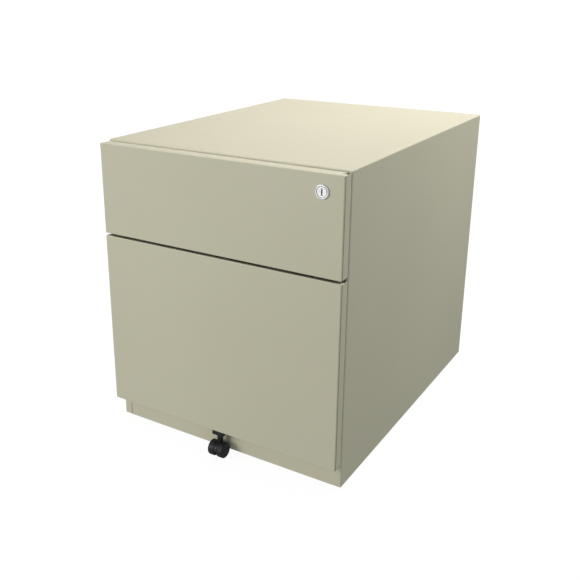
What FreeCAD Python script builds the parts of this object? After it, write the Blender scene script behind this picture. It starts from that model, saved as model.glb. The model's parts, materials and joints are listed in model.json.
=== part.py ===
"""Two-drawer steel pedestal filing cabinet on castors, in millimetres.

The frame: +X to the right as seen from the front, the drawers open towards -Y, +Z up.
The origin is on the floor, below the middle of the cabinet's overall box.
"""
import FreeCAD
import Part
import math
import os

V = FreeCAD.Vector
X_AXIS = V(1, 0, 0)
Y_AXIS = V(0, 1, 0)
Z_AXIS = V(0, 0, 1)
RIGHT = 1
LEFT = -1
SIDES = {"left": LEFT, "right": RIGHT}
QUARTER_TURN = 90.0
BEYOND = 50.0                 # how far a cutting tool reaches past what it cuts

# ---- overall sizes
overall_width = 420.0
overall_depth = 565.0         # drawer face to back, without the castor that stands forward
overall_height = 495.0
ground_clearance = 10.4       # floor to the lower edge of the casing

# ---- casing sheet metal
sheet = 1.0
bend_radius = 2.0             # outside radius of a folded edge
front_flange = 14.0
rear_flange = 12.0
bottom_flange = 12.0
rail_depth = 20.0             # top front rail, its leg under the top
rail_drop = 12.5              # top front rail, its leg behind the flange
pan_lip = 12.0                # downward lip of the base pan
plinth_lip = 12.0             # rearward lip of the plinth, under the base pan
panel_gap = bend_radius - sheet   # sheet edges kept off the inside of a bend

# ---- drawer fronts
front_depth = 20.0
front_gap = 1.5               # drawer front to casing
front_side_gap = 0.5          # drawer front edge to casing side
top_reveal = 2.8              # top of the upper front below the casing top
upper_front_height = 145.0
between_fronts = 4.0
front_radius = 1.5
outer_return = 2.0            # depth of the outer pan's side returns
pan_seam = 1.8                # open seam between the outer and the inner pan
relief_setback = 9.0          # corner relief in the outer pan's top and bottom returns, behind the face
relief_width = 8.0
relief_length = 2.0
return_inset = 6.0            # behind the relief, those returns stop short of the front's edge

# ---- runner channels and slides
upright_depth = 12.0          # casing wall to the slide
upright_width = 40.0
upright_sheet = 1.2
upright_top_gap = 5.0
upright_inset = 30.0          # from each end of the slide
slide_space = 12.7            # upright to drawer side
slide_front_gap = 6.0         # casing front to the slide's front end
slide_rear_room = 87.5        # the slide's rear end to the casing's back
slide_web = 1.2
slide_flange = 1.1
outer_half_height = 22.75
middle_half_height = 17.4
inner_half_height = 12.2
outer_flange_reach = 12.0
middle_offset = 2.2           # upright to the middle member's web
middle_flange_reach = 12.2
inner_flange_offset = 4.6     # upright to the inner member's flange tips
cage_sheet = 0.5
outer_cage_offset = 1.45
inner_cage_offset = 3.7
cage_flange_reach = 10.5
cage_end_room = 5.0           # cage shorter than half the slide by this
ball_offset = 7.0             # upright to the balls' centres
ball_clearance = 0.3
cage_hole_clearance = 0.12
balls_per_row = 7

# ---- drawer trays
tray_sheet = 1.0
tray_radius = 2.0
tray_rim = 7.0
tray_extra_length = 30.0      # tray longer than its slide
upper_tray_lift = 13.0        # upper tray's underside above its front's lower edge
upper_tray_height = 91.0
lower_tray_lift = 5.0         # the same for the lower tray
lower_tray_top_room = 43.0    # lower tray rim below its front's top edge
upper_slide_height = 39.0     # slide centre above the tray's underside
lower_slide_height = 96.0
file_rail_inset = 18.0        # hanging-file rail in from the tray side
file_rail_thickness = 2.0
file_rail_height = 14.0
file_rail_rise = 2.5          # rail top above the tray rim
file_hook_drop = 8.0

# ---- fasteners
screw_radius = 2.0
screw_head_radius = 3.8
screw_head_height = 1.8
screw_clearance = 0.1
screw_recess_radius = 1.4
screw_recess_depth = 0.9
screw_past = 3.0              # thread end past the far sheet
front_screw_inset = 40.0
front_screw_rise = 18.0
rivet_radius = 1.6
rivet_head_radius = 3.0
rivet_head_height = 0.9
rivet_inset = 35.0
buffer_radius = 5.0
buffer_gap = 0.25
buffer_inset_x = 7.0          # from the front's side edge
buffer_inset_z = 30.0

# ---- lock
lock_inset_x = 31.8           # from the front's right edge
lock_drop = 25.0              # from the front's top edge
plug_radius = 7.2
plug_clearance = 0.05
barrel_wall = 1.3
barrel_past = 1.0             # barrel end behind the casing's front plane
bezel_height = 2.5
bezel_chamfer = 0.7
bezel_land = 1.0              # sunk ring of the bezel, round the plug
bezel_rim = 1.8               # raised ring of the bezel, round its land
bezel_land_depth = 0.9
plug_recess = 0.2             # plug face below the bezel
keyway_height = 10.0
keyway_width = 1.8
keyway_depth = 12.0
nut_wall = 2.0                # from the barrel to the middle of a flat
nut_sides = 6
nut_thickness = 1.2
cam_thickness = 2.0
cam_gap = 0.1
cam_hub_radius = 8.0
cam_arm_width = 8.0
cam_pin_reach = 7.0           # pin centre from the lock's axis
cam_pin_radius = 2.0
cam_start_angle = 45.0        # above the horizontal, towards the right-hand side
drive_square = 5.0
bar_y_gap = 0.9               # cam plate to lock bar
bar_thickness = 3.0
bar_width = 8.0
bar_wall_gap = 2.0            # casing wall to lock bar
bar_foot = 14.0               # bar below its lower tab
pin_slot_clearance = 0.45
pin_slot_side = 1.0
bar_head_half = 4.9
tab_height = 8.0
tab_reach = 11.0
catch_gap = 1.5               # locked tab to catch
catch_thickness = 1.5
catch_reach = 10.2
catch_plate_length = 20.0
catch_plate_height = 16.0
upper_catch_height = 71.0     # above the tray's underside
lower_catch_height = 146.0
guide_wall = 1.3
guide_clearance = 0.4
guide_height = 14.0
guide_rises = (45.0, 200.0)   # above the lower tab, each clear of the tabs

# ---- castors, one design in five places
wheel_radius = 12.75
wheel_inner = 2.9             # wheel's inner face from the castor's middle
wheel_outer = 13.85
wheel_shoulder = 2.3
wheel_inner_shoulder = 1.0
wheel_recess_radius = 7.5
wheel_recess_depth = 1.2
axle_recess_radius = 3.6
axle_recess_depth = 2.4
axle_radius = 2.0
axle_clearance = 0.05
axle_head_radius = 3.0
axle_head_height = 1.0
axle_head_gap = 0.2
castor_trail = 4.5
castor_height = 46.5
fifth_castor_lift = 4.1       # fifth castor clear of the floor; it stops the cabinet from tipping
fifth_castor_gap = 4.25       # fifth castor's wheels to the plinth behind them
fork_half = 2.5
fork_hub_radius = 7.0
fork_cheek_gap = 0.8          # fork edge inside the wheel's radius
neck_radius = 4.75
neck_gap = 0.4
stem_radius = 3.0
stem_clearance = 0.05
stem_head_radius = 4.0
stem_head_height = 2.0
stem_head_rise = 4.5          # lower face of the stem's head above the castor head's underside
stem_head_gap = 0.15
head_width = 21.0
head_depth = 15.2
head_height = 8.3
head_radius = 1.0
head_screw_offset = 7.4
head_screw_radius = 1.5
head_screw_cap_radius = 2.5
head_screw_cap_height = 1.5
head_screw_end = 2.0          # thread end above the sheet
castor_inset_x = 39.0         # from the casing's inside wall
castor_inset_y = 50.0         # from the casing's front and back planes

# ---- worked out: planes
plinth_setback = front_depth + front_gap + sheet
castor_setback = plinth_setback - fifth_castor_gap - wheel_radius + castor_trail
wheel_ahead = wheel_radius + castor_trail - castor_setback
back_y = (overall_depth + wheel_ahead) / 2
face_y = back_y - overall_depth
pan_back_y = face_y + front_depth
case_y = pan_back_y + front_gap
plinth_y = face_y + plinth_setback
half_width = overall_width / 2
wall_x = half_width - sheet
roof_z = overall_height - sheet
panel_y = back_y - 2 * sheet

upper_top = overall_height - top_reveal
upper_bottom = upper_top - upper_front_height
lower_top = upper_bottom - between_fronts
lower_bottom = castor_height + fifth_castor_lift
front_half = half_width - front_side_gap
pan_z = castor_height
floor_z = pan_z + sheet

slide_x = wall_x - upright_depth
slide_y = case_y + slide_front_gap
slide_length = back_y - slide_rear_room - slide_y
cage_length = slide_length / 2 - 2 * cage_end_room
tray_x = slide_x - slide_space
tray_length = slide_length + tray_extra_length

upper_tray_z = upper_bottom + upper_tray_lift
upper_tray_top = upper_tray_z + upper_tray_height
lower_tray_z = lower_bottom + lower_tray_lift
lower_tray_top = lower_top - lower_tray_top_room
DRAWERS = {
    "upper": {"low": upper_bottom, "high": upper_top, "tray": upper_tray_z, "rim": upper_tray_top,
              "slide": upper_tray_z + upper_slide_height, "catch": upper_tray_z + upper_catch_height},
    "lower": {"low": lower_bottom, "high": lower_top, "tray": lower_tray_z, "rim": lower_tray_top,
              "slide": lower_tray_z + lower_slide_height, "catch": lower_tray_z + lower_catch_height},
}

barrel_radius = plug_radius + barrel_wall
land_radius = plug_radius + bezel_land
bezel_radius = land_radius + bezel_rim
lock_x = front_half - lock_inset_x
lock_z = upper_top - lock_drop
bezel_y = face_y - bezel_height
barrel_end_y = case_y + barrel_past
cam_y = barrel_end_y + cam_gap
bar_y = cam_y + cam_thickness + bar_y_gap
bar_travel = 2 * cam_pin_reach * math.sin(math.radians(cam_start_angle))
pin_x = lock_x + cam_pin_reach * math.cos(math.radians(cam_start_angle))
pin_z = lock_z + cam_pin_reach * math.sin(math.radians(cam_start_angle))
bar_x = wall_x - bar_wall_gap - bar_width
bar_end_y = bar_y + bar_thickness

fifth_pivot = V(0, face_y + castor_setback, lower_bottom)
corner_pivots = {
    "front_left": V(-(wall_x - castor_inset_x), case_y + castor_inset_y, castor_height),
    "front_right": V(wall_x - castor_inset_x, case_y + castor_inset_y, castor_height),
    "rear_left": V(-(wall_x - castor_inset_x), back_y - castor_inset_y, castor_height),
    "rear_right": V(wall_x - castor_inset_x, back_y - castor_inset_y, castor_height),
}


# ---- basic shapes
def box(x0, x1, y0, y1, z0, z1):
    return Part.makeBox(abs(x1 - x0), y1 - y0, z1 - z0, V(min(x0, x1), y0, z0))


def rounded_box(x0, x1, y0, y1, z0, z1, radius):
    solid = box(x0, x1, y0, y1, z0, z1)
    return solid.makeFillet(radius, solid.Edges)


def folded_shell(x0, x1, y0, y1, z0, z1, wall, radius):
    """A closed box of sheet metal with every edge folded to one outside radius."""
    outside = rounded_box(x0, x1, y0, y1, z0, z1, radius)
    inside = rounded_box(x0 + wall, x1 - wall, y0 + wall, y1 - wall, z0 + wall, z1 - wall, radius - wall)
    return outside.cut(inside)


def rod(radius, start, end):
    """A cylinder from one point to another."""
    along = end - start
    return Part.makeCylinder(radius, along.Length, start, along)


def fused(shapes):
    body = shapes[0]
    for shape in shapes[1:]:
        body = body.fuse(shape)
    return body.removeSplitter()


def cut_all(body, tools):
    for tool in tools:
        body = body.cut(tool)
    return body


def pan_head_screw(seat, direction, length):
    """A screw whose head stands on seat; its thread runs along direction."""
    head = rod(screw_head_radius, seat, seat - direction * screw_head_height)
    rim = [edge for edge in head.Edges if edge.Length > screw_head_radius]
    outer = [edge for edge in rim if (edge.CenterOfMass - seat).Length > screw_head_height / 2]
    head = head.makeFillet(screw_head_height / 2, outer[:1])
    top = seat - direction * screw_head_height
    recess = rod(screw_recess_radius, top, top + direction * screw_recess_depth)
    return head.fuse(rod(screw_radius, seat, seat + direction * length)).cut(recess)


# ---- casing
def make_outer_wrap():
    """Sides and top folded from one sheet, with flanges round the front, back and bottom."""
    shell = folded_shell(-half_width, half_width, case_y, back_y, ground_clearance, overall_height,
                         sheet, bend_radius)
    mouth_x = half_width - front_flange
    back_x = half_width - rear_flange
    under_x = half_width - bottom_flange
    below = ground_clearance - BEYOND
    mouth = box(-mouth_x, mouth_x, case_y - BEYOND, case_y + bend_radius, below,
                overall_height - front_flange)
    rear = box(-back_x, back_x, back_y - bend_radius, back_y + BEYOND, below,
               overall_height - rear_flange)
    under = box(-under_x, under_x, case_y - BEYOND, back_y + BEYOND, below,
                ground_clearance + bend_radius)
    return cut_all(shell, [mouth, rear, under])


def make_back_panel():
    reach = wall_x - panel_gap
    return box(-reach, reach, panel_y, panel_y + sheet, ground_clearance + sheet + panel_gap,
               roof_z - panel_gap)


def make_base_pan():
    deck = box(-wall_x, wall_x, case_y + 2 * sheet, panel_y, pan_z, floor_z)
    lips = [box(side * (wall_x - sheet), side * wall_x, case_y + plinth_lip + 2 * sheet, panel_y,
                pan_z - pan_lip, pan_z) for side in SIDES.values()]
    holes = []
    for pivot in corner_pivots.values():
        holes += castor_screw_holes(pivot, head_screw_radius + screw_clearance)
    return cut_all(fused([deck] + lips), holes)


def make_front_plinth():
    """The panel below the lower drawer, its lip welded under the base pan."""
    reach = wall_x - panel_gap
    back = plinth_y + sheet
    face = box(-reach, reach, plinth_y, back, ground_clearance, floor_z)
    lip = box(-reach, reach, back, back + plinth_lip, pan_z - sheet, pan_z)
    corners = [box(side * (half_width - bottom_flange - panel_gap), side * half_width, plinth_y, back,
                   ground_clearance, ground_clearance + bend_radius) for side in SIDES.values()]
    return cut_all(fused([face, lip]), corners)


def make_top_front_rail():
    reach = wall_x - panel_gap
    front = case_y + sheet
    hanging = box(-reach, reach, front, front + sheet, roof_z - panel_gap - rail_drop, roof_z - panel_gap)
    leg = box(-reach, reach, front + sheet, front + rail_depth, roof_z - sheet, roof_z)
    weld = box(-reach, reach, front + sheet, front + 2 * sheet, roof_z - 2 * sheet, roof_z - sheet)
    return fused([hanging, leg, weld])


def upright_places():
    """Front and rear channel, each as the low and high Y of the channel."""
    front = slide_y + upright_inset
    rear = slide_y + slide_length - upright_inset - upright_width
    return [(front, front + upright_width), (rear, rear + upright_width)]


def make_upright(side, y0, y1):
    outside = box(side * slide_x, side * wall_x, y0, y1, floor_z, roof_z - upright_top_gap)
    hollow = box(side * (slide_x + upright_sheet), side * (wall_x + BEYOND), y0 + upright_sheet,
                 y1 - upright_sheet, floor_z - BEYOND, overall_height)
    channel = outside.cut(hollow)
    holes = [rod(screw_radius + screw_clearance, V(side * (slide_x - sheet), (y0 + y1) / 2, drawer["slide"]),
                 V(side * wall_x, (y0 + y1) / 2, drawer["slide"])) for drawer in DRAWERS.values()]
    return cut_all(channel, holes)


def make_runner_uprights():
    return [make_upright(side, y0, y1) for side in SIDES.values() for y0, y1 in upright_places()]


# ---- slides
def runner_box(side, near, far, y0, y1, z0, z1):
    """A box placed by its distance from the upright, on either side."""
    return box(side * (slide_x - far), side * (slide_x - near), y0, y1, z0, z1)


def channel_section(side, centre, web, half_height, thickness, flanges, y0, y1):
    """A C-shaped strip: a web between two distances from the upright, and two flanges."""
    parts = [runner_box(side, web[0], web[1], y0, y1, centre - half_height, centre + half_height)]
    for way in (-1, 1):
        edge = centre + way * half_height
        inner = edge - way * thickness
        parts.append(runner_box(side, flanges[0], flanges[1], y0, y1, min(edge, inner), max(edge, inner)))
    return fused(parts)


def slide_screw_points():
    return [(y0 + y1) / 2 for y0, y1 in upright_places()]


def make_slide_outer(side, drawer):
    member = channel_section(side, drawer["slide"], (0, slide_web), outer_half_height, slide_web,
                             (0, outer_flange_reach), slide_y, slide_y + slide_length)
    holes = [rod(screw_radius, V(side * (slide_x - 2 * slide_web), y, drawer["slide"]),
                 V(side * (slide_x + slide_web), y, drawer["slide"])) for y in slide_screw_points()]
    return cut_all(member, holes)


def make_slide_middle(side, drawer):
    return channel_section(side, drawer["slide"], (middle_offset, middle_offset + slide_web),
                           middle_half_height, slide_flange, (middle_offset, middle_flange_reach),
                           slide_y, slide_y + slide_length)


def make_slide_inner(side, drawer):
    member = channel_section(side, drawer["slide"], (slide_space - slide_web, slide_space),
                             inner_half_height, slide_flange, (inner_flange_offset, slide_space),
                             slide_y, slide_y + slide_length)
    return cut_all(member, rivet_bores(side, drawer))


def ball_row(outer_edge, inner_edge):
    """Ball height from the slide's centre, and ball radius, for one raceway."""
    return (outer_edge + inner_edge) / 2, (outer_edge - inner_edge) / 2 - ball_clearance


def make_cage(side, drawer, offset, outer_edge, inner_edge):
    """One ball cage and its balls."""
    height, radius = ball_row(outer_edge, inner_edge)
    centre = drawer["slide"]
    y0 = slide_y + (slide_length - cage_length) / 2
    half = height + cage_sheet / 2
    cage = channel_section(side, centre, (offset, offset + cage_sheet), half, cage_sheet,
                           (offset, cage_flange_reach), y0, y0 + cage_length)
    pitch = cage_length / balls_per_row
    balls = []
    for row in (-1, 1):
        for index in range(balls_per_row):
            spot = V(side * (slide_x - ball_offset), y0 + pitch * (index + 1 / 2), centre + row * height)
            balls.append(Part.makeSphere(radius, spot))
            cage = cage.cut(rod(radius + cage_hole_clearance, spot - Z_AXIS * radius, spot + Z_AXIS * radius))
    return [cage] + balls


def outer_cages(drawer):
    shapes = []
    for side in SIDES.values():
        shapes += make_cage(side, drawer, outer_cage_offset, outer_half_height - slide_web,
                            middle_half_height)
    return shapes


def inner_cages(drawer):
    shapes = []
    for side in SIDES.values():
        shapes += make_cage(side, drawer, inner_cage_offset, middle_half_height - slide_flange,
                            inner_half_height)
    return shapes


def make_slide_screws():
    screws = []
    for side in SIDES.values():
        for drawer in DRAWERS.values():
            for y in slide_screw_points():
                seat = V(side * (slide_x + upright_sheet), y, drawer["slide"])
                screws.append(pan_head_screw(seat, V(-side, 0, 0), upright_sheet + slide_web))
    return screws


# ---- drawer fronts
def make_front_outer(drawer):
    """The face with a return all round: short at the sides, full depth at top and bottom.

    Behind a corner relief the top and bottom returns stop short of the front's edges.
    """
    low, high = drawer["low"], drawer["high"]
    shell = folded_shell(-front_half, front_half, face_y, pan_back_y + BEYOND, low, high, sheet,
                         front_radius)
    tools = [box(-overall_width, overall_width, pan_back_y, back_y, low - BEYOND, high + BEYOND)]
    relief_y = face_y + relief_setback
    for side in SIDES.values():
        tools.append(box(side * (front_half - front_radius), side * overall_width, face_y + outer_return,
                         back_y, low + sheet, high - sheet))
        tools.append(box(side * (front_half - relief_width), side * overall_width, relief_y,
                         relief_y + relief_length, low - BEYOND, high + BEYOND))
        tools.append(box(side * (front_half - return_inset), side * overall_width, relief_y, back_y,
                         low - BEYOND, high + BEYOND))
    return cut_all(shell, tools)


def make_front_inner(drawer):
    """The pan that closes the front's back, with a return forward at each side."""
    low, high = drawer["low"] + sheet, drawer["high"] - sheet
    shell = folded_shell(-front_half, front_half, face_y - BEYOND, pan_back_y, low - BEYOND,
                         high + BEYOND, sheet, front_radius)
    kept = box(-overall_width, overall_width, face_y + outer_return + pan_seam, pan_back_y, low, high)
    return cut_all(shell.common(kept), front_screw_holes(drawer))


def front_screw_points(drawer):
    """Four screws through the tray's front wall, set in from the tray's corners."""
    reach = tray_x - front_screw_inset
    return [(side * reach, z) for side in SIDES.values()
            for z in (drawer["tray"] + front_screw_rise, drawer["rim"] - front_screw_rise)]


def front_screw_holes(drawer):
    return [rod(screw_radius + screw_clearance, V(x, pan_back_y - 2 * sheet, z),
                V(x, pan_back_y + 2 * tray_sheet, z)) for x, z in front_screw_points(drawer)]


def make_front_screws(drawer):
    seat_y = pan_back_y + tray_sheet
    return [pan_head_screw(V(x, seat_y, z), -Y_AXIS, tray_sheet + sheet + screw_past)
            for x, z in front_screw_points(drawer)]


def make_buffers(drawer):
    """Small rubber pads on the back of a front, just short of the casing's flanges."""
    pads = []
    for side in SIDES.values():
        for z in (drawer["low"] + buffer_inset_z, drawer["high"] - buffer_inset_z):
            start = V(side * (front_half - buffer_inset_x), pan_back_y, z)
            pads.append(rod(buffer_radius, start, start + Y_AXIS * (front_gap - buffer_gap)))
    return pads


# ---- trays
def long_edges(solid, x):
    """The edges that run from front to back at one X."""
    return [edge for edge in solid.Edges
            if edge.BoundBox.YLength > tray_rim and abs(edge.CenterOfMass.x - x) < tray_sheet / 2]


def make_tray_side(side, drawer):
    """A wall with a rim turned in at the top and a flange turned in under the floor."""
    low, rim = drawer["tray"], drawer["rim"]
    y0, y1 = pan_back_y + tray_sheet, pan_back_y + tray_length - tray_sheet
    outer_x, inner_x = side * tray_x, side * (tray_x - tray_sheet)
    outside = box(side * (tray_x - tray_rim), outer_x, y0, y1, low, rim)
    outside = outside.makeFillet(tray_radius, long_edges(outside, outer_x))
    hollow = box(side * (tray_x - tray_rim - BEYOND), inner_x, y0 - BEYOND, y1 + BEYOND, low + tray_sheet,
                 rim - tray_sheet)
    hollow = hollow.makeFillet(tray_radius - tray_sheet, long_edges(hollow, inner_x))
    return cut_all(outside.cut(hollow), rivet_bores(side, drawer))


def make_tray_wall(drawer, y0):
    return box(-tray_x, tray_x, y0, y0 + tray_sheet, drawer["tray"], drawer["rim"])


def make_tray(drawer):
    """Two folded sides, the floor on their flanges, and a wall across the front and the back."""
    front, rear = pan_back_y, pan_back_y + tray_length - tray_sheet
    floor_x = tray_x - tray_radius
    low = drawer["tray"] + tray_sheet
    floor = box(-floor_x, floor_x, front + tray_sheet, rear, low, low + tray_sheet)
    front_wall = cut_all(make_tray_wall(drawer, front), front_screw_holes(drawer))
    sides = [make_tray_side(side, drawer) for side in SIDES.values()]
    return sides + [floor, front_wall, make_tray_wall(drawer, rear)]


def rivet_points():
    return [slide_y + rivet_inset, slide_y + slide_length / 2, slide_y + slide_length - rivet_inset]


def rivet_bores(side, drawer):
    """Rivet holes through a tray side and the slide's inner member."""
    return [rod(rivet_radius, V(side * (tray_x - 2 * tray_sheet), y, drawer["slide"]),
                V(side * (tray_x + 2 * slide_web), y, drawer["slide"])) for y in rivet_points()]


def make_tray_rivets(drawer):
    rivets = []
    for side in SIDES.values():
        for y in rivet_points():
            inside = V(side * (tray_x - tray_sheet), y, drawer["slide"])
            outside = V(side * (tray_x + slide_web), y, drawer["slide"])
            shank = rod(rivet_radius, inside, outside)
            head = rod(rivet_head_radius, inside, inside - V(side * rivet_head_height, 0, 0))
            tail = rod(rivet_head_radius, outside, outside + V(side * rivet_head_height, 0, 0))
            rivets.append(fused([shank, head, tail]))
    return rivets


def make_filing_rails():
    """Two flat rails for hanging files, each hooked over the lower tray's front and back walls."""
    rim = lower_tray_top
    front, rear = pan_back_y, pan_back_y + tray_length
    rails = []
    for side in SIDES.values():
        near = side * (tray_x - tray_sheet - file_rail_inset)
        far = near - side * file_rail_thickness
        top = rim + file_rail_rise
        bar = box(near, far, front + tray_sheet, rear - tray_sheet, top - file_rail_height, top)
        bridge = box(near, far, front, rear + tray_sheet, rim, top)
        hook = box(near, far, rear, rear + tray_sheet, rim - file_hook_drop, rim)
        rails.append(fused([bar, bridge, hook]))
    return rails


# ---- lock
def make_lock_barrel():
    """Threaded body with a raised round bezel on the drawer's face."""
    axis = V(lock_x, 0, lock_z)
    bezel = rod(bezel_radius, axis + Y_AXIS * face_y, axis + Y_AXIS * bezel_y)
    front_edges = [edge for edge in bezel.Edges if abs(edge.CenterOfMass.y - bezel_y) < bezel_chamfer]
    bezel = bezel.makeChamfer(bezel_chamfer, front_edges[:1])
    body = rod(barrel_radius, axis + Y_AXIS * face_y, axis + Y_AXIS * barrel_end_y)
    bore = rod(plug_radius + plug_clearance, axis + Y_AXIS * (bezel_y - BEYOND),
               axis + Y_AXIS * (barrel_end_y + BEYOND))
    land = rod(land_radius, axis + Y_AXIS * (bezel_y - BEYOND), axis + Y_AXIS * (bezel_y + bezel_land_depth))
    return cut_all(fused([bezel, body]), [bore, land])


def lock_hole(radius):
    return rod(radius, V(lock_x, face_y - BEYOND, lock_z), V(lock_x, case_y + BEYOND, lock_z))


def make_lock_nut():
    """Flat hexagonal nut that holds the lock against the back of the front."""
    step = 2 * math.pi / nut_sides
    corner = (barrel_radius + nut_wall) / math.cos(step / 2)
    points = [V(lock_x + corner * math.cos(step * i), pan_back_y, lock_z + corner * math.sin(step * i))
              for i in range(nut_sides + 1)]
    plate = Part.Face(Part.makePolygon(points)).extrude(Y_AXIS * nut_thickness)
    return plate.cut(lock_hole(barrel_radius))


def make_lock_plug():
    start = V(lock_x, bezel_y + plug_recess, lock_z)
    end = V(lock_x, cam_y, lock_z)
    body = rod(plug_radius, start, end)
    square = box(lock_x - drive_square / 2, lock_x + drive_square / 2, cam_y, cam_y + cam_thickness,
                 lock_z - drive_square / 2, lock_z + drive_square / 2)
    keyway = box(lock_x - keyway_width / 2, lock_x + keyway_width / 2, bezel_y, start.y + keyway_depth,
                 lock_z - keyway_height / 2, lock_z + keyway_height / 2)
    return fused([body, square]).cut(keyway)


def make_lock_cam():
    """Plate on the plug's square, with the pin that lifts and lowers the lock bar."""
    hub = rod(cam_hub_radius, V(lock_x, cam_y, lock_z), V(lock_x, cam_y + cam_thickness, lock_z))
    arm = box(lock_x, lock_x + cam_pin_reach, cam_y, cam_y + cam_thickness, lock_z - cam_arm_width / 2,
              lock_z + cam_arm_width / 2)
    arm.rotate(V(lock_x, cam_y, lock_z), Y_AXIS, -cam_start_angle)
    tip = rod(cam_arm_width / 2, V(pin_x, cam_y, pin_z), V(pin_x, cam_y + cam_thickness, pin_z))
    pin = rod(cam_pin_radius, V(pin_x, cam_y, pin_z), V(pin_x, bar_end_y, pin_z))
    square = box(lock_x - drive_square / 2, lock_x + drive_square / 2, cam_y, cam_y + cam_thickness,
                 lock_z - drive_square / 2, lock_z + drive_square / 2)
    return fused([hub, arm, tip, pin]).cut(square)


def tab_floor(drawer):
    """Lower edge of a tab while the lock is open."""
    return drawer["catch"] - tab_height / 2 + bar_travel


def make_lock_bar():
    low = tab_floor(DRAWERS["lower"]) - bar_foot
    return box(bar_x, bar_x + bar_width, bar_y, bar_end_y, low, pin_z + bar_head_half)


def make_lock_bar_tabs():
    """The slotted head round the cam's pin, and one tab above each drawer's catch."""
    slot_half = cam_pin_radius + pin_slot_clearance
    head_x = pin_x - cam_pin_radius - 2 * pin_slot_side - slot_half
    head = box(head_x, bar_x, bar_y, bar_end_y, pin_z - bar_head_half, pin_z + bar_head_half)
    far_x = lock_x + cam_pin_reach + cam_pin_radius + pin_slot_side
    slot = box(pin_x - cam_pin_radius - pin_slot_side, far_x, bar_y - BEYOND, bar_end_y + BEYOND,
               pin_z - slot_half, pin_z + slot_half)
    tabs = [box(bar_x - tab_reach, bar_x, bar_y, bar_end_y, tab_floor(drawer), tab_floor(drawer) + tab_height)
            for drawer in DRAWERS.values()]
    return [head.cut(slot)] + tabs


def make_lock_bar_guides():
    """Two brackets on the casing's side, each with a window that the bar slides in."""
    base = tab_floor(DRAWERS["lower"])
    guides = []
    for rise in guide_rises:
        window = box(bar_x - guide_clearance, bar_x + bar_width + guide_clearance, bar_y - guide_clearance,
                     bar_end_y + guide_clearance, base + rise - BEYOND, base + rise + BEYOND)
        block = box(bar_x - guide_clearance - guide_wall, wall_x, bar_y - guide_clearance - guide_wall,
                    bar_end_y + guide_clearance + guide_wall, base + rise, base + rise + guide_height)
        guides.append(block.cut(window))
    return guides


def make_catch(drawer):
    """Bracket on the tray's right side, behind the tab's place when the bar is down."""
    y0 = bar_end_y + catch_gap
    centre = drawer["catch"]
    plate = box(tray_x, tray_x + catch_thickness, y0, y0 + catch_plate_length, centre - tab_height / 2,
                centre - tab_height / 2 + catch_plate_height)
    finger = box(tray_x, tray_x + catch_reach, y0, y0 + catch_thickness, centre - tab_height / 2,
                 centre + tab_height / 2)
    return fused([plate, finger])


# ---- castors, each placed by its pivot, the point on its swivel axis in its mounting plane
def axle_centre(pivot):
    return pivot + V(0, -castor_trail, wheel_radius - castor_height)


def castor_screw_holes(pivot, radius):
    return [rod(radius, pivot + V(side * head_screw_offset, 0, -head_height),
                pivot + V(side * head_screw_offset, 0, 2 * sheet)) for side in SIDES.values()]


def make_castor_head(pivot):
    """Block under the mounting face, with the chamber that the stem snaps into."""
    low = pivot.z - head_height
    block = box(pivot.x - head_width / 2, pivot.x + head_width / 2, pivot.y - head_depth / 2,
                pivot.y + head_depth / 2, low, pivot.z)
    uprights = [edge for edge in block.Edges if abs(edge.Length - head_height) < stem_clearance]
    block = block.makeFillet(head_radius, uprights)
    foot = V(pivot.x, pivot.y, low)
    chamber_low = foot + Z_AXIS * (stem_head_rise - stem_head_gap)
    chamber_high = foot + Z_AXIS * (stem_head_rise + stem_head_height + stem_head_gap)
    tools = [rod(stem_radius + stem_clearance, foot, foot + Z_AXIS * stem_head_rise),
             rod(stem_head_radius + stem_clearance, chamber_low, chamber_high)]
    tools += castor_screw_holes(pivot, head_screw_radius + screw_clearance)
    for side in SIDES.values():
        seat = foot + V(side * head_screw_offset, 0, 0)
        tools.append(rod(head_screw_cap_radius + screw_clearance, seat,
                         seat + Z_AXIS * (head_screw_cap_height + screw_clearance)))
    return cut_all(block, tools)


def make_castor_screws(pivot):
    screws = []
    for side in SIDES.values():
        low = pivot + V(side * head_screw_offset, 0, -head_height + screw_clearance)
        seat = low + Z_AXIS * head_screw_cap_height
        end = pivot + V(side * head_screw_offset, 0, sheet + head_screw_end)
        cap = rod(head_screw_cap_radius, low, seat)
        screws.append(cap.fuse(rod(head_screw_radius, seat, end)))
    return screws


def make_castor_fork(pivot, bore_radius):
    """Stem, neck and the web between the wheels, in one moulding."""
    foot = pivot - Z_AXIS * head_height
    axle = axle_centre(pivot)
    wheel_top = axle.z + wheel_radius
    reach = wheel_radius - fork_cheek_gap
    disc = rod(fork_hub_radius, axle - X_AXIS * fork_half, axle + X_AXIS * fork_half)
    crown = rod(reach, axle - X_AXIS * fork_half, axle + X_AXIS * fork_half)
    crown = crown.common(box(pivot.x - fork_half, pivot.x + fork_half, axle.y - reach, axle.y + reach,
                             axle.z, axle.z + reach))
    web = box(pivot.x - fork_half, pivot.x + fork_half, pivot.y - neck_radius, pivot.y + neck_radius,
              axle.z + fork_hub_radius / 2, wheel_top)
    neck = rod(neck_radius, V(pivot.x, pivot.y, wheel_top), foot - Z_AXIS * neck_gap)
    stem = rod(stem_radius, foot - Z_AXIS * neck_gap, foot + Z_AXIS * stem_head_rise)
    cap = rod(stem_head_radius, foot + Z_AXIS * stem_head_rise,
              foot + Z_AXIS * (stem_head_rise + stem_head_height))
    bore = rod(bore_radius, axle - X_AXIS * BEYOND, axle + X_AXIS * BEYOND)
    return fused([disc, crown, web, neck, stem, cap]).cut(bore)


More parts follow.
